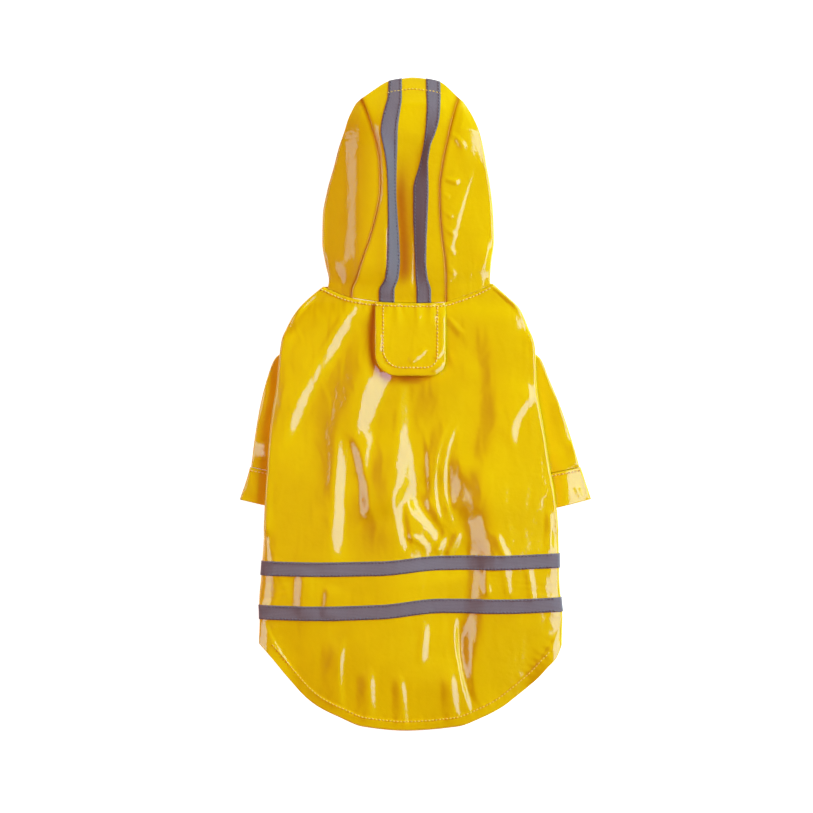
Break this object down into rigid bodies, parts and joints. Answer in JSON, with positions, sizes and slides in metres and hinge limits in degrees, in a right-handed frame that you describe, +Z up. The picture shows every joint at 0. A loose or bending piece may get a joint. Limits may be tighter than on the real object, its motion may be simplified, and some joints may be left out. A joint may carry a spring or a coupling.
{
  "type": "dog raincoat",
  "caption": "Hooded dog raincoat lying flat, back up: puffed body with a rounded tail, short sleeves, a leash flap and reflective tapes.",
  "frame": {"origin": "centre of the coat's outline, on the surface it lies on", "axes": "+Y along the back from tail to hood, +X to the right seen from above with the hood away, +Z up off the surface"},
  "size_m": [0.2294, 0.4264, 0.0168],
  "materials": {
    "wet_cloth": "bright yellow wet-look polyurethane coating on woven polyester, high gloss",
    "reflective_tape": "grey woven reflective tape, satin",
    "thread": "pale yellow sewing thread"
  },
  "bodies": {
    "root": {"back_panel": "wet_cloth", "belly_panel": "wet_cloth", "sleeve_left": "wet_cloth", "sleeve_right": "wet_cloth", "cuff_left": "wet_cloth", "cuff_right": "wet_cloth", "hood_centre": "wet_cloth", "hood_side_left": "wet_cloth", "hood_side_right": "wet_cloth", "leash_flap": "wet_cloth", "back_tape_upper": "reflective_tape", "back_tape_lower": "reflective_tape", "hood_tape_left": "reflective_tape", "hood_tape_right": "reflective_tape"}
  },
  "joints": []
}
